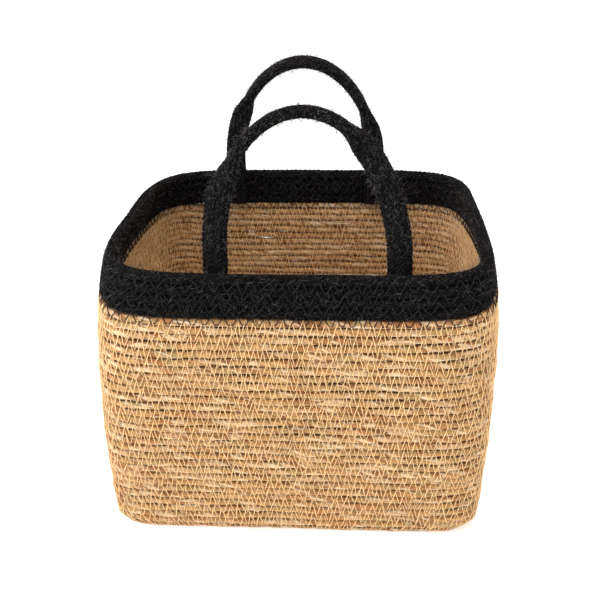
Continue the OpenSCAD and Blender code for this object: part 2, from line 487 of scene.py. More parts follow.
def rope_mesh(name, sheet, c, u, s, half_thick, half_height, lumps, taper):
    """Seagrass rope along the places (c, u) of a sheet. s is the length along the coil."""
    centre, out, across = sheet.at(c, u)
    along = unit(np.gradient(centre, axis=0))
    across = unit(across - along * np.einsum("ri,ri->r", across, along)[:, None])
    out = unit(out - along * np.einsum("ri,ri->r", out, along)[:, None])
    mesh = swept_mesh(name, [centre], half_height, ROPE_CORNERS)
    turn = ring_turns(read_rings(mesh, ROPE_CORNERS), centre, out, across)
    length = np.broadcast_to(s[:, None], turn.shape)
    blade = turn - lumps.twist(length)
    size = lumps.size(length, turn) * (1 - LOBE_DEPTH * (1 - np.abs(np.cos(LOBES * blade / 2))))
    size = size * taper[:, None]
    rings = (centre[:, None] + out[:, None] * (half_thick * size * np.cos(turn))[..., None]
             + across[:, None] * (half_height * size * np.sin(turn))[..., None])
    rings[..., 2] = np.maximum(rings[..., 2], 0.05 * MM)
    write_rings(mesh, rings)
    lay = np.stack([length, half_height * np.cos(blade), half_height * np.sin(blade)], -1)
    set_attribute(mesh, "lay", lay.reshape(-1, 3))
    # seam is 1 at the top and bottom of the rope's section, where the seagrass finish paints shade between
    # courses.
    set_attribute(mesh, "seam", np.abs(np.sin(turn)).ravel())
    close_ends(mesh, ROPE_CORNERS)
    return mesh


HALF_HEIGHT_FACTOR = 0.525  # half height of the rope, in courses: neighbours press together


def wall_rope_part(name, sheet, lumps, first, last):
    """The wall's coil from course first to course last."""
    r = rope_settings()
    pitch = WALL_TOP / r.courses
    count = int(sheet.length / r.step)
    start = first - (STEP_OVER if first == 0 else 0)
    end = last - (STEP_OVER * 0.35 if last == r.courses else 0)
    v = np.arange(math.floor(start * count), math.ceil(end * count) + 1) / count
    k = np.maximum(np.floor(v + 1e-9), 0)
    u = v - k
    c = k + np.where(u < 0, 0.0, climb(u))
    c = np.minimum(c, r.courses - 1 + 0.3 * climb(u))
    taper = np.ones(len(v))
    if first == 0:
        taper *= 0.25 + 0.75 * smooth((v - start) / STEP_OVER)
    if last == r.courses:
        taper *= 0.2 + 0.8 * smooth((end - v) / (0.6 * STEP_OVER))
    mid = c + drift(c, u) * smooth(c / 2) * smooth((r.courses - 1 - c) / 2)
    s = (v + 1) * sheet.length
    return rope_mesh(name, sheet, mid, u, s, r.thick / 2, HALF_HEIGHT_FACTOR * pitch, lumps, taper)


def base_rope_mesh(name, sheet, lumps):
    """The base's coil, from the foot to the middle."""
    r = rope_settings()
    pitch = WALL_TOP / r.courses
    c_parts = []
    for turn in range(r.base_turns):
        half_width = BASE_HALF_WIDTH - (turn + 0.5) * pitch
        half_depth = BASE_HALF_DEPTH - (turn + 0.5) * pitch
        around = 4 * (half_width + half_depth)
        steps = max(int(around / r.step), 24)
        c_parts.append(turn + np.arange(steps) / steps)
    v = np.concatenate(c_parts + [[float(r.base_turns)]])
    centre, _, _ = sheet.at(v, v)
    s = np.concatenate([[0], np.cumsum(np.linalg.norm(np.diff(centre, axis=0), axis=1))])
    taper = 0.3 + 0.7 * smooth(v / 0.04) * smooth((r.base_turns - v) / 0.1)
    return rope_mesh(name, sheet, v, v, s, BASE_THICK / 2, HALF_HEIGHT_FACTOR * pitch, lumps, taper)


# ---------------------------------------------------------------- stitching


PLACE_SCATTER = 0.16  # how far a needle hole strays along the seam, in half stitches
TIP_SCATTER = 0.14  # how far it strays across the seam, in courses
# One stretch of thread: share of the way, share of the reach, height over the rope
THREAD_SHAPE = ((0.0, 1.0, -0.10), (0.28, 0.52, 0.075), (0.72, 0.52, 0.075))


def zigzag(sheet, seams, face, half_thick, size_at, stitch, reach, draw, wave):
    """One thread that zigzags along the seams. seams gives the seam's course for a place v along the
    coil, face is 1 for the outside and -1 for the inside, reach is in courses."""
    first, last, seam_at = seams
    step = stitch / 2 / sheet.length
    count = int((last - first) / step)
    places = first + (np.arange(count) + draw.uniform(-PLACE_SCATTER, PLACE_SCATTER, count)) * step
    places += (0.9 * step * np.sin(2 * math.pi * places * 3.7)
               + 0.7 * step * np.sin(2 * math.pi * places * 8.3))
    places = np.sort(places)
    tips = np.where(np.arange(count) % 2 == 0, 1.0, -1.0)
    tips = tips * (reach + draw.uniform(-TIP_SCATTER, TIP_SCATTER, count))
    here, there = places[:-1], places[1:]
    low, high = tips[:-1], tips[1:]
    parts = []
    for share, keep, lift in THREAD_SHAPE:
        v = here + (there - here) * share
        tip = low if share < 0.5 else high
        seam = seam_at(v)
        c = seam + tip * keep
        u = np.mod(v, 1.0)
        place, out, _ = sheet.at(c + wave(c, u), u)
        height = half_thick * (size_at(c, u) + lift)
        parts.append(place + out * (face * height)[:, None])
    return np.stack(parts, 1).reshape(-1, 3)


def no_wave(c, u):
    return 0.0


def thread_mesh(name, paths, radius, corners=4):
    mesh = swept_mesh(name, paths, radius, corners)
    close_ends(mesh, corners)
    return mesh


def wall_seams(first, last):
    """Seams of the wall's coil between two courses."""
    def seam_at(v):
        k = np.floor(v)
        return k - 0.5 + climb(v - k)
    return first, last, seam_at


def wall_wave(courses):
    def wave(c, u):
        return drift(c, u) * smooth(c / 2) * smooth((courses - 1 - c) / 2)
    return wave


def rope_size(sheet, lumps, face):
    """Size of the rope where a thread lies over it, from the rope's own lumps."""
    turn = 0.0 if face > 0 else math.pi

    def size_at(c, u):
        s = (np.round(c) + u + 1) * sheet.length
        return lumps.size(s, np.full(s.shape, turn))
    return size_at


# ---------------------------------------------------------------- plaited jute


class Section:
    """Places round a superellipse, evenly spaced. at(share) gives (x, y) and the outward direction."""

    def __init__(self, half_across, half_through, power):
        angle = np.linspace(0, 2 * math.pi, 2001)
        x = half_across * np.sign(np.cos(angle)) * np.abs(np.cos(angle)) ** (2 / power)
        y = half_through * np.sign(np.sin(angle)) * np.abs(np.sin(angle)) ** (2 / power)
        self.run = np.concatenate([[0], np.cumsum(np.hypot(np.diff(x), np.diff(y)))])
        self.run /= self.run[-1]
        self.x, self.y = x / half_across, y / half_through
        self.nx = np.sign(x) * np.abs(x / half_across) ** (power - 1) / half_across
        self.ny = np.sign(y) * np.abs(y / half_through) ** (power - 1) / half_through

    def at(self, share):
        share = np.mod(share, 1.0)
        values = [np.interp(share, self.run, table) for table in (self.x, self.y, self.nx, self.ny)]
        size = np.hypot(values[2], values[3])
        return values[0], values[1], values[2] / size, values[3] / size


STRAND_CORNERS = 6
OVER_UNDER = 0.34 * MM  # how far a strand rises and dives
STRAND_FLAT = 0.72  # thickness of a strand, as a share of its width
STRAND_SINK = 1.12 * MM  # from a braid's outline in to the middle of its strands
STRAND_LAY = 1.6 * MM  # length in which a strand's fibres turn by one radian
CORE_CORNERS = 12


def braid_mesh(name, stations, section, lay, ends, closed, step, draw):
    """Tubular braid over two, under two. stations(s) gives the middle, both directions across and both
    half sizes at length s."""
    length = stations.length
    count = int(length / step)
    s = np.arange(count) * length / count if closed else np.linspace(0, length, count)
    middle, first, second, half_first, half_second = stations.at(s)
    crossings = 2 * ends * s / lay
    paths, faces, tones = [], [], []
    radius = jute_settings().strand
    for way in (1, -1):
        for strand in range(ends):
            x, y, nx, ny = section.at(way * s / lay + strand / ends + 0.01)
            phase = (crossings + 2 * strand) if way > 0 else (2 * strand - crossings)
            lift = way * OVER_UNDER * np.cos(math.pi / 2 * (phase - 0.5))
            out = first * nx[:, None] + second * ny[:, None]
            loose = 0.10 * MM * np.sin(s / (7 * MM) + draw.uniform(0, 6.3))
            path = (middle + first * ((half_first - STRAND_SINK) * x)[:, None]
                    + second * ((half_second - STRAND_SINK) * y)[:, None] + out * (lift + loose)[:, None])
            paths.append(path)
            faces.append(out)
            tones.append(np.full(count, draw.uniform()))
    mesh = swept_mesh(name, paths, radius, STRAND_CORNERS, closed)
    rings = read_rings(mesh, STRAND_CORNERS)
    centre, out = np.concatenate(paths), np.concatenate(faces)
    offset = rings - centre[:, None]
    depth = np.einsum("rci,ri->rc", offset, out)
    rings = centre[:, None] + offset - out[:, None] * ((1 - STRAND_FLAT) * depth)[..., None]
    write_rings(mesh, rings)
    run = np.tile(s, 2 * ends) + np.repeat(np.arange(2 * ends), count) * 0.7
    turn = np.broadcast_to(2 * math.pi * np.arange(STRAND_CORNERS) / STRAND_CORNERS, rings.shape[:2])
    twist = turn - run[:, None] / STRAND_LAY
    lay_values = np.stack([np.broadcast_to(run[:, None], twist.shape),
                           radius * np.cos(twist), radius * np.sin(twist)], -1)
    set_attribute(mesh, "lay", lay_values.reshape(-1, 3))
    set_attribute(mesh, "seam", np.repeat(np.concatenate(tones), STRAND_CORNERS))
    return mesh


def core_mesh(name, stations, closed, step, shrink):
    """Solid middle of a braid."""
    length = stations.length
    count = int(length / step)
    s = np.arange(count) * length / count if closed else np.linspace(0, length, count)
    middle, first, second, half_first, half_second = stations.at(s)
    mesh = swept_mesh(name, [middle], 2 * MM, CORE_CORNERS, closed)
    turn = ring_turns(read_rings(mesh, CORE_CORNERS), middle, first, second)
    rings = (middle[:, None] + first[:, None] * ((half_first - shrink)[:, None] * np.cos(turn))[..., None]
             + second[:, None] * ((half_second - shrink)[:, None] * np.sin(turn))[..., None])
    write_rings(mesh, rings)
    set_attribute(mesh, "lay", rings.reshape(-1, 3))
    set_attribute(mesh, "seam", np.zeros(len(mesh.vertices)))
    return mesh


def joined(name, meshes, corners):
    """Several meshes as one, with closed ends."""
    model = bmesh.new()
    for mesh in meshes:
        model.from_mesh(mesh)
        bpy.data.meshes.remove(mesh)
    whole = bpy.data.meshes.new(name)
    model.to_mesh(whole)
    model.free()
    close_ends(whole, corners)
    return whole


class BandCord:
    """Stations of one closed cord of the band."""

    def __init__(self, sheet, course, half_out, half_up):
        u = np.linspace(0, 1, 1201)
        self.place, self.out, self.across = sheet.at(np.full(u.shape, float(course)), u)
        run = np.concatenate([[0], np.cumsum(np.linalg.norm(np.diff(self.place, axis=0), axis=1))])
        self.run, self.u = run, u
        self.length = run[-1]
        self.sheet, self.course = sheet, float(course)
        self.half_out, self.half_up = half_out, half_up

    def at(self, s):
        u = np.interp(s, self.run, self.u)
        place, out, across = self.sheet.at(np.full(u.shape, self.course), u)
        wave = 0.35 * MM * np.sin(2 * math.pi * u * 11 + self.course) * np.ones(len(u))
        place = place + out * wave[:, None]
        return place, out, across, np.full(len(s), self.half_out), np.full(len(s), self.half_up)


class Strap:
    """Stations of one handle, from one sewn end over the arch to the other."""

    def __init__(self, fold, front, spans):
        s, j = shape(), jute_settings()
        self.front = front
        half_span, rise, spring, lean, band_lean, end_low, strap_outer = spans
        keys = []
        flat_half, thick_half = j.sewn_thick / 2, j.strap_thick / 2

        def sewn(side, z):
            depth = -(strap_outer + (RIM_TOP - z) * math.tan(band_lean) - flat_half)
            middle = (side * half_span, depth + abs(fold.y), z)
            heading = 1.0 if side < 0 else -1.0
            first = (-heading, 0.0, 0.0)
            second = (0.0, math.cos(band_lean), 0.0)
            return middle, first, second, flat_half

        def arch(angle):
            x, z = -half_span * math.cos(angle), spring + rise * math.sin(angle)
            dx, dz = half_span * math.sin(angle), rise * math.cos(angle)
            size = math.hypot(dx, dz)
            hx, hz = dx / size, dz / size
            low, high = (FRONT_ROLLS if front else BACK_ROLLS)[0 if x < 0 else 1]
            roll = math.pi / 2 * float(smooth((z - RIM_TOP - low) / (high - low)))
            side = np.array([-hz, 0.0, hx])
            depth = np.array([0.0, 1.0, 0.0])
            first = side * math.cos(roll) + depth * math.sin(roll)
            second = -side * math.sin(roll) + depth * math.cos(roll)
            sway = FRONT_SWAY * math.sin(math.pi / 2 * math.sin(angle)) if front else 0.0
            middle = np.array([x - sway, thick_half - KNUCKLE, z])
            turn = Matrix.Rotation(-lean, 3, "X")
            pivot = np.array([0.0, 0.0, fold.z])
            leaned = np.array(turn @ Vector(middle - pivot)) + pivot
            return leaned, np.array(turn @ Vector(first)), np.array(turn @ Vector(second)), thick_half

        for z in np.linspace(end_low, RIM_TOP - 3 * MM, 5):
            keys.append(sewn(-1, z))
        for angle in np.linspace(math.radians(2.5), math.pi - math.radians(2.5), 60):
            keys.append(arch(angle))
        for z in np.linspace(RIM_TOP - 3 * MM, end_low, 5):
            keys.append(sewn(1, z))
        middle, first, second, half = (np.array(part, float) for part in zip(*keys))
        run = np.concatenate([[0], np.cumsum(np.linalg.norm(np.diff(middle, axis=0), axis=1))])
        fine = np.linspace(0, run[-1], 700)
        self.tables = []
        for table in (middle, first, second, half[:, None]):
            dense = np.stack([np.interp(fine, run, table[:, i]) for i in range(table.shape[1])], 1)
            self.tables.append(soften(dense, 9))
        self.length = run[-1]
        self.fine = fine
        turn = 1.0 if front else -1.0
        place, first, second, half = self.tables
        flip = np.array([turn, turn, 1.0])
        place = place * flip + np.array([fold.x, fold.y, 0.0])
        self.tables = [place, unit(first * flip), unit(second * flip), half]

    def at(self, s):
        values = [np.stack([np.interp(s, self.fine, table[:, i]) for i in range(table.shape[1])], 1)
                  for table in self.tables]
        place, first, second, half = values
        along = unit(np.gradient(place, axis=0))
        first = unit(first - along * np.einsum("ri,ri->r", first, along)[:, None])
        second = np.cross(along, first)
        end = smooth(np.minimum(s, self.length - s) / (4 * MM))
        width = jute_settings().strap_width / 2
        across = width * (0.86 + 0.14 * end)
        through = half[:, 0] * (0.7 + 0.3 * end)
        return place, first, second, across, through


def soften(table, width):
    """Moving average that keeps the ends."""
    padded = np.concatenate([np.repeat(table[:1], width, 0), table, np.repeat(table[-1:], width, 0)])
    kernel = np.hanning(2 * width + 1)
    kernel /= kernel.sum()
    return np.stack([np.convolve(padded[:, i], kernel, "valid") for i in range(table.shape[1])], 1)


KNUCKLE = 7 * MM
FRONT_ROLLS = ((50 * MM, 84 * MM), (80 * MM, 102 * MM))
BACK_ROLLS = ((30 * MM, 76 * MM), (54 * MM, 82 * MM))
FRONT_SWAY = 3.5 * MM
HALF_SPAN = 66.5 * MM
ARCH_SPRING = 235 * MM
ARCH_RISE = 99.9 * MM
HANDLE_LEAN = math.radians(11)
END_HEIGHT = 31 * MM
STRAP_POWER = 2.6


def strap_stations(joint, front):
    fold = FOLDS[joint]
    strap_outer = abs(fold.y) + KNUCKLE
    low = RIM_TOP - END_HEIGHT * math.cos(band_lean())
    spans = (HALF_SPAN, ARCH_RISE, ARCH_SPRING, HANDLE_LEAN, band_lean(), low, strap_outer)
    return Strap(fold, front, spans)


# ---------------------------------------------------------------- materials


def linear(code):
    """A colour code such as c79c6d as linear numbers."""
    parts = [int(code[i:i + 2], 16) / 255 for i in (0, 2, 4)]
    return [p / 12.92 if p <= 0.04045 else ((p + 0.055) / 1.055) ** 2.4 for p in parts]


class Value:
    """A shader socket that sums are written with."""

    def __init__(self, finish, socket):
        self.finish, self.socket = finish, socket

    def math(self, operation, *others):
        inputs = {i: value for i, value in enumerate((self,) + others)}
        return self.finish.node("Math", {"operation": operation}, inputs)

    def __add__(self, other):
        return self.math("ADD", other)

    __radd__ = __add__

    def __mul__(self, other):
        return self.math("MULTIPLY", other)

    __rmul__ = __mul__

    def __sub__(self, other):
        return self.math("SUBTRACT", other)

    def __rsub__(self, other):
        return self.finish.node("Math", {"operation": "SUBTRACT"}, {0: other, 1: self})

    def between(self, low, high):
        """0 below low, 1 above high, smooth in between."""
        return self.finish.node(
            "MapRange", {"interpolation_type": "SMOOTHSTEP"},
            {"Value": self, "From Min": low, "From Max": high})


class Finish:
    """A material and the one way in which its nodes are made."""

    def __init__(self, name):
        self.material = bpy.data.materials.new(name)
        self.material.use_nodes = True
        self.tree = self.material.node_tree
        self.tree.nodes.clear()

    def node(self, kind, settings=None, inputs=None, output=0):
        made = self.tree.nodes.new("ShaderNode" + kind)
        for key, setting in (settings or {}).items():
            if key == "stops":
                self.set_stops(made.color_ramp, setting)
            else:
                setattr(made, key, setting)
        for key, given in (inputs or {}).items():
            if isinstance(given, Value):
                self.tree.links.new(given.socket, made.inputs[key])
            else:
                made.inputs[key].default_value = given
        return Value(self, made.outputs[output])

    @staticmethod
    def set_stops(ramp, stops):
        while len(ramp.elements) < len(stops):
            ramp.elements.new(1.0)
        for element, (place, colour) in zip(ramp.elements, stops):
            element.position = place
            element.color = (*colour, 1.0)

    def attribute(self, name, output="Fac"):
        return self.node("Attribute", {"attribute_name": name}, output=output)

    def scaled(self, vector, factors):
        return self.node("VectorMath", {"operation": "MULTIPLY"}, {0: vector, 1: factors})

    def noise(self, vector, detail=2.0, roughness=0.5):
        return self.node("TexNoise", None, {"Vector": vector, "Scale": 1.0, "Detail": detail,
                                            "Roughness": roughness})

    def part(self, colour, index):
        return self.node("SeparateColor", None, {0: colour}, index)

    def mix(self, factor, first, second, blend="MIX"):
        return self.node("Mix", {"data_type": "RGBA", "blend_type": blend},
                         {0: factor, 6: first, 7: second}, 2)

    def surface(self, **sockets):
        named = {key.replace("_", " "): value for key, value in sockets.items()}
        shader = self.node("BsdfPrincipled", None, named)
        self.node_output(shader)
        return self.material

    def node_output(self, shader):
        made = self.tree.nodes.new("ShaderNodeOutputMaterial")
        self.tree.links.new(shader.socket, made.inputs["Surface"])

    def bump(self, height, strength, distance):
        return self.node("Bump", None, {"Height": height, "Strength": strength, "Distance": distance})


def colour(values):
    return (*values, 1.0)


def seagrass_finish(name="seagrass", shade=1.0):
    """Dry twisted blades: each blade has its own tone and fine streaks run along it. Painted shade darkens
    the cracks between blades and the seams between courses.
    """
    r = rope_settings()
    f = Finish(name)
    lay = f.attribute("lay", "Vector")
    blade = f.scaled(lay, (1 / 0.0125, 1 / 0.0026, 1 / 0.0026))
    warp = f.noise(f.scaled(lay, (90, 200, 200)), 1.0)
    blade = f.node("VectorMath", {"operation": "ADD"}, {0: blade, 1: f.node(
        "VectorMath", {"operation": "SCALE"}, {0: warp, "Scale": 0.5})})
    cell = f.node("TexVoronoi", {"feature": "F1"},
                  {"Vector": blade, "Scale": 1.0, "Randomness": 1.0}, "Color")
    edge = f.node("TexVoronoi", {"feature": "DISTANCE_TO_EDGE"},
                  {"Vector": blade, "Scale": 1.0, "Randomness": 1.0}, "Distance")
    pick = f.part(cell, 0)
    tone = f.node("ValToRGB", {"stops": [
        (0.00, linear("8a5d38")), (0.14, linear("b27a48")), (0.30, tuple(r.grass)),
        (0.46, linear("c08f56")), (0.60, linear("a98f5c")), (0.74, linear("cfa681")),
        (0.90, tuple(r.pale)), (1.00, linear("dcc4a4"))]}, {0: pick})
    fine = f.noise(f.scaled(lay, (60, 1900, 1900)), 3.0, 0.6)
    streak = f.noise(f.scaled(lay, (140, 700, 700)), 2.0)
    region = f.noise(f.scaled(lay, (9, 60, 60)), 1.0)
    tone = f.mix(0.3 * region.between(0.52, 0.72), tone, colour(linear("b97a45")))
    light = 0.36 + 0.6 * fine + 0.42 * streak
    tone = f.mix(1.0, tone, f.node("CombineColor", None, {0: light, 1: light, 2: light}), "MULTIPLY")
    # Painted shade in the cracks between blades, mixed towards dark brown 6b4524.
    crack_shade = 1 - edge.between(0.0, 0.07)
    # Painted shade in the seams between courses, broken up along the rope by gap, mixed towards 34200f.
    seam = f.attribute("seam")
    gap = f.noise(f.scaled(lay, (110, 1.0, 1.0)), 1.0)
    shadow = seam.between(0.74, 0.93) * (0.3 + 0.7 * gap.between(0.36, 0.56))
    tone = f.mix(0.6 * crack_shade, tone, colour(linear("6b4524")))
    tone = f.mix(0.9 * shadow, tone, colour(linear("34200f")))
    height = 0.5 * fine + 0.35 * streak + 0.8 * edge.between(0.0, 0.12)
    return f.surface(Base_Color=tone, Roughness=0.62 + 0.2 * fine, Normal=f.bump(height, 0.75, 0.0005),
                     Specular_IOR_Level=0.28, Sheen_Weight=0.05)


def thread_finish(name, base, spread, specular):
    """Fine twisted thread: short slanting light and dark bands."""
    f = Finish(name)
    place = f.node("TexCoord", output="Object")
    fibre = f.noise(f.scaled(place, (2600, 2600, 2600)), 2.0)
    region = f.noise(f.scaled(place, (70, 70, 70)), 1.0)
    low = [part * (1 - spread) for part in base]
    high = [min(1.0, part * (1 + spread * 0.6)) for part in base]
    tone = f.mix(0.6 * fibre.between(0.3, 0.7) + 0.4 * region.between(0.35, 0.65), colour(low), colour(high))
    return f.surface(Base_Color=tone, Roughness=0.6 + 0.2 * fibre, Normal=f.bump(fibre, 0.6, 0.0002),
                     Specular_IOR_Level=specular)


def jute_finish(name="black_jute"):
    """Dyed jute: rough strands, with a painted highlight on the fibre ends that catch the light."""
    j = jute_settings()
    f = Finish(name)
    lay = f.attribute("lay", "Vector")
    fibre = f.noise(f.scaled(lay, (330, 1500, 1500)), 3.0, 0.65)
    hair = f.noise(f.scaled(lay, (900, 2600, 2600)), 2.0)
    region = f.noise(f.scaled(lay, (45, 10, 10)), 1.0)
    strand = f.attribute("seam")
    # bright sets where the painted highlight of lit fibre ends lies over the black.
    bright = (0.5 * fibre.between(0.58, 0.70) * (0.4 + 0.6 * region) + 0.5 * hair.between(0.61, 0.69)
              + 0.02 * strand)
    tone = f.mix(bright, colour(j.black), colour(j.fibre_highlight))
    height = 0.6 * fibre + 0.4 * hair
    return f.surface(Base_Color=tone, Roughness=0.82 + 0.1 * fibre, Normal=f.bump(height, 1.0, 0.0006),
                     Specular_IOR_Level=0.05)


def floor_finish():
    f = Finish("studio_floor")
    place = f.node("TexCoord", output="Object")
    grain = f.noise(f.scaled(place, (40, 40, 40)), 1.0)
    tone = f.mix(grain, colour((0.93, 0.93, 0.93)), colour((0.95, 0.95, 0.95)))
    return f.surface(Base_Color=tone, Roughness=0.9, Specular_IOR_Level=0.0,
                     Emission_Color=(1.0, 1.0, 1.0, 1.0), Emission_Strength=0.42)


MADE = {}


def material(name):
    """A finish, made once."""
    r, j = rope_settings(), jute_settings()
    makers = {
        "seagrass": seagrass_finish,
        "cream_thread": lambda: thread_finish("cream_thread", r.cream, 0.18, 0.3),
        "black_jute": jute_finish,
        "black_thread": lambda: thread_finish("black_thread", (0.010, 0.009, 0.009), 0.4, 0.15),
        "jute_hair": lambda: thread_finish("jute_hair", (0.085, 0.081, 0.084), 0.6, 0.2),
        "floor": floor_finish,
    }
    if name not in MADE:
        MADE[name] = makers[name]()
    return MADE[name]


# ---------------------------------------------------------------- pieces


def build_base_coil():
    r = rope_settings()
    sheet = base_sheet()
    lumps = Lumps(r.seed + 1, 16.0)
    mesh = base_rope_mesh("base_rope", sheet, lumps)
    finished("base_rope", mesh, material("seagrass"), "root", "seagrass", "base_coil")


WALL_PARTS = 3
WALL_LUMPS = 40.0  # metres of rope that the wall's lumps cover


def build_wall_coil():
    r = rope_settings()
    sheet = wall_sheet()
    lumps = Lumps(r.seed, WALL_LUMPS)
    share = r.courses // WALL_PARTS
    for part, label in enumerate(("lower", "middle", "upper")):
        name = f"wall_rope_{label}"
        mesh = wall_rope_part(name, sheet, lumps, part * share, (part + 1) * share)
        nodes = ["wall_coil"] if part == 0 else []
        finished(name, mesh, material("seagrass"), "root", "seagrass", *nodes)


def build_wall_stitching():
    r = rope_settings()
    sheet = wall_sheet()
    lumps = Lumps(r.seed, WALL_LUMPS)
    half = r.courses // 2
    for face, side in ((1, "outer"), (-1, "inner")):
        draw = np.random.default_rng(r.seed + 20 + face)
        size_at = rope_size(sheet, lumps, face)
        for first, last, label in ((1, half, "lower"), (half, r.courses, "upper")):
            rows = zigzag(sheet, wall_seams(first, last - 0.02), face, r.thick / 2, size_at,
                          r.stitch, 1.0, draw, wall_wave(r.courses))
            rows[:, 2] = np.maximum(rows[:, 2], r.thread)
            name = f"{side}_stitching_{label}"
            mesh = thread_mesh(name, [rows], r.thread)
            nodes = [f"wall_{side}_stitching"] if first == 1 else []
            finished(name, mesh, material("cream_thread"), "root", "cream_thread", *nodes)


def build_base_stitching():
    r = rope_settings()
    sheet = base_sheet()
    lumps = Lumps(r.seed + 1, 16.0)

    def seam_at(v):
        return v - 0.5

    for face, side in ((-1, "upper"), (1, "under")):
        draw = np.random.default_rng(r.seed + 40 + face)
        paths = []
        for turn in range(1, r.base_turns):
            pitch = WALL_TOP / r.courses
            around = 4 * (BASE_HALF_WIDTH + BASE_HALF_DEPTH - 2 * turn * pitch)
            ratio = max(around, 30 * MM) / sheet.length
            paths.append(zigzag(sheet, (turn, turn + 1.0, seam_at), face, BASE_THICK / 2 * 0.97,
                                lambda c, u: np.ones(len(c)), r.stitch / ratio, 0.9, draw, no_wave))
        rows = np.concatenate(paths)
        rows[:, 2] = np.maximum(rows[:, 2], r.thread)
        name = f"base_stitching_{side}"
        mesh = thread_mesh(name, [rows], r.thread)
        nodes = ["base_stitching"] if side == "upper" else []
        finished(name, mesh, material("cream_thread"), "root", "cream_thread", *nodes)


def build_band():
    j = jute_settings()
    sheet = band_sheet()
    pitch = (RIM_TOP - WALL_TOP) / j.band_courses
    draw = np.random.default_rng(rope_settings().seed + 60)
    for course in range(j.band_courses):
        cord = BandCord(sheet, course, j.cord_thick / 2, 0.55 * pitch)
        turns = round(cord.length / j.cord_lay)
        section = Section(j.cord_thick / 2, 0.5 * pitch, 2.2)
        name = f"band_cord_{course + 1}"
        braid = braid_mesh(name + ".braid", cord, section, cord.length / turns, 6, True, 1.9 * MM, draw)
        core = core_mesh(name + ".core", cord, True, 4 * MM, 1.5 * MM)
        mesh = joined(name, [braid, core], STRAND_CORNERS)
        finished(name, mesh, material("black_jute"), "root", "black_jute", f"rim_cord_{course + 1}")


BAND_THREAD = 0.42 * MM


def build_band_stitching():
    j = jute_settings()
    sheet = band_sheet()
    seed = rope_settings().seed
    for face, side in ((1, "outer"), (-1, "inner")):
        draw = np.random.default_rng(seed + 70 + face)
        paths = []
        for seam in range(j.band_courses):
            stitch = 9.6 * MM if seam == 0 else 11 * MM
            reach = 0.62 if seam == 0 else 0.5
            drop = -0.28 if seam == 0 else 0.0

            def seam_at(v, seam=seam, drop=drop):
                return np.full(len(v), seam - 0.5 + drop)

            paths.append(zigzag(sheet, (0.0, 1.0, seam_at), face, j.cord_thick / 2,
                                lambda c, u: np.full(len(c), 1.0), stitch, reach, draw, no_wave))
        name = f"band_{side}_stitching"
        mesh = thread_mesh(name, paths, BAND_THREAD)
        finished(name, mesh, material("black_thread"), "root", "black_thread", f"rim_{side}_stitching")


def build_handle(side):
    j = jute_settings()
    front = side == "front"
    strap = strap_stations(f"{side}_handle_fold", front)
    draw = np.random.default_rng(rope_settings().seed + (80 if front else 81))
    section = Section(j.strap_width / 2 - 1.1 * MM, j.strap_thick / 2 - 1.1 * MM, STRAP_POWER)
    name = f"{side}_handle"
    braid = braid_mesh(name + ".braid", strap, section, j.strap_lay, 12, False, 1.55 * MM, draw)
    core = core_mesh(name + ".core", strap, False, 3 * MM, 1.5 * MM)
    mesh = joined(name + "_plait", [braid, core], max(STRAND_CORNERS, 12))
    piece = finished(name + "_plait", mesh, material("black_jute"), None, "black_jute",
                     f"{side}_handle_strap", f"{side}_left_handle_end", f"{side}_right_handle_end")
    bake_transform(piece)


def stitch_loop(start, end, out, lift):
    """One short stitch that rises out of the strap and goes back in."""
    start, end, out = np.array(start), np.array(end), np.array(out)
    return [start - out * lift, start + out * lift, (start + end) / 2 + out * 1.3 * lift,
            end + out * lift, end - out * lift]


def build_tack_stitches():
    """A box of stitches with a cross in it, on the inner face of each strap end."""
    j = jute_settings()
    lean = band_lean()
    for side in ("front", "back"):
        fold = FOLDS[f"{side}_handle_fold"]
        turn = 1.0 if side == "front" else -1.0
        for label, leg in (("left", -1), ("right", 1)):
            x = fold.x + leg * HALF_SPAN
            half_w, half_h = j.strap_width / 2 - 3.2 * MM, END_HEIGHT / 2 - 3.2 * MM
            middle_z = RIM_TOP - END_HEIGHT / 2
            depth = abs(fold.y) + KNUCKLE + END_HEIGHT / 2 * math.tan(lean) - j.sewn_thick - 0.1 * MM
            out = np.array([0.0, turn * math.cos(lean), math.sin(lean)])
            up = np.array([0.0, turn * math.sin(lean), math.cos(lean)])
            middle = np.array([x, -turn * depth, middle_z])

            def place(a, b, middle=middle, up=up):
                return middle + np.array([a, 0.0, 0.0]) + up * b

            box = [(-half_w, -half_h), (half_w, -half_h), (half_w, half_h), (-half_w, half_h)]
            lines = [(box[i], box[(i + 1) % 4]) for i in range(4)] + [(box[0], box[2]), (box[1], box[3])]
            paths = []
            for (ax, az), (bx, bz) in lines:
                stitches = max(2, round(math.hypot(bx - ax, bz - az) / (4 * MM)))
                for i in range(stitches):
                    f0, f1 = (i + 0.08) / stitches, (i + 0.86) / stitches
                    paths.append(stitch_loop(place(ax + (bx - ax) * f0, az + (bz - az) * f0),
                                             place(ax + (bx - ax) * f1, az + (bz - az) * f1), out, 0.5 * MM))
            name = f"{side}_{label}_tacking"
            mesh = thread_mesh(name, [np.array(path) for path in paths], BAND_THREAD)
            finished(name, mesh, material("black_thread"), "root", "black_thread",
                     f"{side}_{label}_tack_stitches")


def hair_paths(places, outs, alongs, draw, shortest, longest, lie):
    """Curved hairs that leave the surface and lie over along it."""
    count = len(places)
    length = draw.uniform(shortest, longest, count) * draw.uniform(0.5, 1.0, count)
    way = unit(outs * draw.uniform(0.25, 1.0, (count, 1)) + alongs * draw.normal(0, lie, (count, 1))
               + draw.normal(0, 0.35, (count, 3)))
    curl = unit(draw.normal(0, 1.0, (count, 3)) - UP * 0.4)
    paths = []
    for share in (0.0, 0.5, 1.0):
        bend = 0.45 * share * share
        paths.append(places + (way * share + curl * bend) * length[:, None])
    return list(np.stack(paths, 1))


BAND_HAIRS = 6000
STRAP_HAIRS = 2200
GRASS_HAIRS = 1100
HAIR_RADIUS = 0.085 * MM


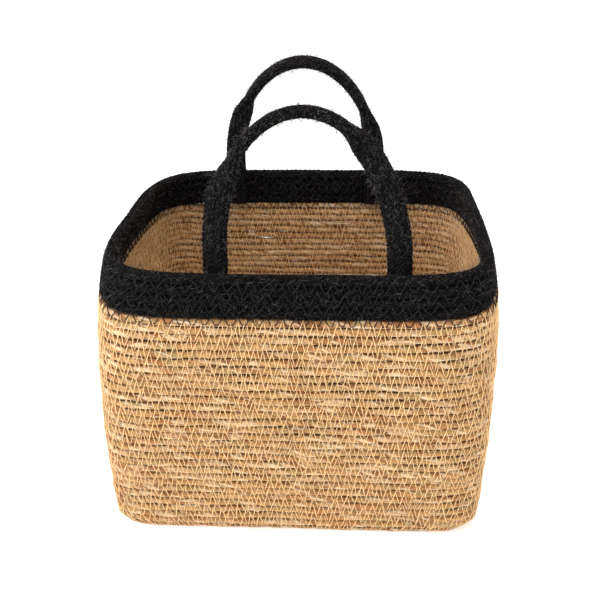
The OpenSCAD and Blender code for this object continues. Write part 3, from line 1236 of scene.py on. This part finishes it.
def build_loose_fibres():
    r, j = rope_settings(), jute_settings()
    draw = np.random.default_rng(r.seed + 90)
    sheet = band_sheet()
    pitch = (RIM_TOP - WALL_TOP) / j.band_courses
    course = draw.integers(0, j.band_courses, BAND_HAIRS).astype(float)
    u = draw.uniform(0, 1, BAND_HAIRS)
    turn = np.where(course > 2.5, draw.uniform(-0.4, math.pi + 0.4, BAND_HAIRS),
                    draw.choice([0.0, math.pi], BAND_HAIRS) + draw.uniform(-1.2, 1.2, BAND_HAIRS))
    place, out, across = sheet.at(course, u)
    away = out * np.cos(turn)[:, None] + across * np.sin(turn)[:, None]
    along = np.cross(across, out)
    surface = (place + out * (j.cord_thick / 2 * np.cos(turn))[:, None]
               + across * (0.52 * pitch * np.sin(turn))[:, None])
    paths = hair_paths(surface - away * 0.3 * MM, away, along, draw, 2 * MM, 7 * MM, 0.9)
    mesh = thread_mesh("band_fibres", paths, HAIR_RADIUS)
    finished("band_fibres", mesh, material("jute_hair"), "root", "black_jute")
    for side in ("front", "back"):
        strap = strap_stations(f"{side}_handle_fold", side == "front")
        s = draw.uniform(0.13 * strap.length, 0.87 * strap.length, STRAP_HAIRS)
        s.sort()
        place, first, second, across_half, through_half = strap.at(s)
        turn = draw.uniform(0, 2 * math.pi, STRAP_HAIRS)
        away = unit(first * (np.cos(turn) / across_half)[:, None]
                    + second * (np.sin(turn) / through_half)[:, None])
        surface = (place + first * (across_half * 0.96 * np.cos(turn))[:, None]
                   + second * (through_half * 0.96 * np.sin(turn))[:, None])
        paths = hair_paths(surface, away, np.cross(first, second), draw, 2 * MM, 6 * MM, 0.9)
        mesh = thread_mesh(f"{side}_handle_fibres", paths, HAIR_RADIUS)
        finished(f"{side}_handle_fibres", mesh, material("jute_hair"), f"{side}_handle", "black_jute")
    sheet = wall_sheet()
    c = draw.uniform(1.0, r.courses - 1.5, GRASS_HAIRS)
    u = draw.uniform(0, 1, GRASS_HAIRS)
    face = np.where(draw.uniform(0, 1, GRASS_HAIRS) < 0.72, 1.0, -1.0)
    place, out, across = sheet.at(c, u)
    away = out * face[:, None]
    paths = hair_paths(place + away * (r.thick / 2 - 0.4 * MM), away * 0.55, np.cross(across, out), draw,
                       3 * MM, 11 * MM, 1.4)
    mesh = thread_mesh("seagrass_fibres", paths, 0.11 * MM)
    finished("seagrass_fibres", mesh, material("cream_thread"), "root", "seagrass")


# ---------------------------------------------------------------- stage


def aim(holder, place, target, roll=0.0):
    """Puts a camera or a light at place and points it at target."""
    turn = (Vector(target) - Vector(place)).to_track_quat("-Z", "Y").to_matrix()
    holder.matrix_world = (Matrix.Translation(Vector(place)) @ turn.to_4x4()
                           @ Matrix.Rotation(roll, 4, "Z"))


def build_camera():
    stage = bpy.context.scene.basket_stage
    data = bpy.data.cameras.new("view")
    data.lens, data.sensor_width, data.shift_y = stage.lens, 36.0, stage.shift
    data.clip_start, data.clip_end = 0.01, 20.0
    data.dof.use_dof = False
    camera = bpy.data.objects.new("view", data)
    bpy.context.scene.collection.objects.link(camera)
    target = Vector((stage.target_x, 0.0, RIM_TOP / 2))
    away = Vector((math.sin(stage.azimuth) * math.cos(stage.elevation),
                   -math.cos(stage.azimuth) * math.cos(stage.elevation), math.sin(stage.elevation)))
    aim(camera, target + away * stage.distance, target, stage.roll)
    bpy.context.scene.camera = camera


def build_light(name, place, target, size, power, tint):
    data = bpy.data.lights.new(name, "AREA")
    data.shape, data.size, data.energy, data.color = "DISK", size, power, tint
    light = bpy.data.objects.new(name, data)
    bpy.context.scene.collection.objects.link(light)
    aim(light, place, target)


def build_world(ambient):
    """White all round for the camera, softer for the light that it gives."""
    world = bpy.data.worlds.new("studio")
    world.use_nodes = True
    nodes, links = world.node_tree.nodes, world.node_tree.links
    nodes.clear()
    path = nodes.new("ShaderNodeLightPath")
    strength = nodes.new("ShaderNodeMapRange")
    strength.inputs["To Min"].default_value = ambient
    strength.inputs["To Max"].default_value = 1.0
    links.new(path.outputs["Is Camera Ray"], strength.inputs["Value"])
    background = nodes.new("ShaderNodeBackground")
    background.inputs["Color"].default_value = (1.0, 1.0, 1.0, 1.0)
    links.new(strength.outputs[0], background.inputs["Strength"])
    output = nodes.new("ShaderNodeOutputWorld")
    links.new(background.outputs[0], output.inputs["Surface"])
    bpy.context.scene.world = world


def build_floor():
    model = bmesh.new()
    bmesh.ops.create_circle(model, cap_ends=True, segments=96, radius=4.0)
    mesh = bpy.data.meshes.new("floor")
    model.to_mesh(mesh)
    model.free()
    mesh.materials.append(material("floor"))
    link("floor", mesh)


AMBIENT = 0.62
LIT_POINT = (0.0, 0.0, 0.12)
WARM = (1.0, 0.89, 0.76)
# Name, place, size in metres, power in watts, colour
LIGHTS = (
    ("key", (-1.0, -1.1, 1.25), 1.2, 8.0, (1.0, 1.0, 1.0)),
    ("left_rim", (-1.9, -0.5, 0.6), 1.0, 30.0, (1.0, 1.0, 1.0)),
    ("fill", (1.3, -1.2, 0.8), 1.4, 8.0, (1.0, 1.0, 1.0)),
    ("top", (0.0, -0.2, 1.5), 1.0, 17.0, WARM),
)


def build_stage():
    build_floor()
    build_world(AMBIENT)
    for name, place, size, power, tint in LIGHTS:
        build_light(name, place, LIT_POINT, size, power, tint)
    build_camera()
    view = bpy.context.scene.view_settings
    view.view_transform = "Standard"
    view.look = "None"


# ---------------------------------------------------------------- operators


class BASKET_OT_base_coil(bpy.types.Operator):
    """Wind the seagrass rope of the base"""

    bl_idname = "basket.base_coil"
    bl_label = "Base coil"

    def execute(self, context):
        build_base_coil()
        return {"FINISHED"}


class BASKET_OT_wall_coil(bpy.types.Operator):
    """Wind the seagrass rope of the wall"""

    bl_idname = "basket.wall_coil"
    bl_label = "Wall coil"

    def execute(self, context):
        build_wall_coil()
        return {"FINISHED"}


class BASKET_OT_wall_stitching(bpy.types.Operator):
    """Sew the wall's seams with cream zigzag thread, outside and inside"""

    bl_idname = "basket.wall_stitching"
    bl_label = "Wall stitching"

    def execute(self, context):
        build_wall_stitching()
        return {"FINISHED"}


class BASKET_OT_base_stitching(bpy.types.Operator):
    """Sew the base's seams with cream zigzag thread, above and below"""

    bl_idname = "basket.base_stitching"
    bl_label = "Base stitching"

    def execute(self, context):
        build_base_stitching()
        return {"FINISHED"}


class BASKET_OT_band(bpy.types.Operator):
    """Plait the four black jute cords of the band"""

    bl_idname = "basket.band"
    bl_label = "Jute band"

    def execute(self, context):
        build_band()
        return {"FINISHED"}


class BASKET_OT_band_stitching(bpy.types.Operator):
    """Sew the band to the wall and its cords to each other with black thread"""

    bl_idname = "basket.band_stitching"
    bl_label = "Band stitching"

    def execute(self, context):
        build_band_stitching()
        return {"FINISHED"}


class BASKET_OT_handles(bpy.types.Operator):
    """Plait the two handles and sew their ends to the band"""

    bl_idname = "basket.handles"
    bl_label = "Handles"

    def execute(self, context):
        build_handle("front")
        build_handle("back")
        build_tack_stitches()
        return {"FINISHED"}


class BASKET_OT_loose_fibres(bpy.types.Operator):
    """Scatter the loose fibres of the jute and the seagrass"""

    bl_idname = "basket.loose_fibres"
    bl_label = "Loose fibres"

    def execute(self, context):
        build_loose_fibres()
        return {"FINISHED"}


class BASKET_OT_stage(bpy.types.Operator):
    """Add the floor, the lights and the camera"""

    bl_idname = "basket.stage"
    bl_label = "Stage"

    def execute(self, context):
        build_stage()
        return {"FINISHED"}


SETTINGS = (BasketShape, RopeSettings, JuteSettings, StageSettings)
OPERATORS = (
    BASKET_OT_stage, BASKET_OT_base_coil, BASKET_OT_base_stitching, BASKET_OT_wall_coil,
    BASKET_OT_wall_stitching, BASKET_OT_band, BASKET_OT_band_stitching, BASKET_OT_handles,
    BASKET_OT_loose_fibres,
)


class BASKET_PT_panel(bpy.types.Panel):
    """Lists the basket's pieces and their settings"""

    bl_idname = "BASKET_PT_panel"
    bl_label = "Seagrass basket"
    bl_space_type = "VIEW_3D"
    bl_region_type = "UI"
    bl_category = "Basket"

    def draw(self, context):
        for made in OPERATORS:
            self.layout.operator(made.bl_idname)
        for group in ("basket_shape", "basket_rope", "basket_jute", "basket_stage"):
            settings = getattr(context.scene, group)
            column = self.layout.column()
            for key in settings.__annotations__:
                column.prop(settings, key)


def register():
    for made in SETTINGS + OPERATORS + (BASKET_PT_panel,):
        bpy.utils.register_class(made)
    bpy.types.Scene.basket_shape = PointerProperty(type=BasketShape)
    bpy.types.Scene.basket_rope = PointerProperty(type=RopeSettings)
    bpy.types.Scene.basket_jute = PointerProperty(type=JuteSettings)
    bpy.types.Scene.basket_stage = PointerProperty(type=StageSettings)


def unregister():
    for group in ("basket_stage", "basket_jute", "basket_rope", "basket_shape"):
        delattr(bpy.types.Scene, group)
    for made in reversed(SETTINGS + OPERATORS + (BASKET_PT_panel,)):
        bpy.utils.unregister_class(made)


def main():
    register()
    bpy.ops.basket.stage()
    bpy.ops.basket.base_coil()
    bpy.ops.basket.base_stitching()
    bpy.ops.basket.wall_coil()
    bpy.ops.basket.wall_stitching()
    bpy.ops.basket.band()
    bpy.ops.basket.band_stitching()
    bpy.ops.basket.handles()
    bpy.ops.basket.loose_fibres()


if __name__ == "__main__":
    main()
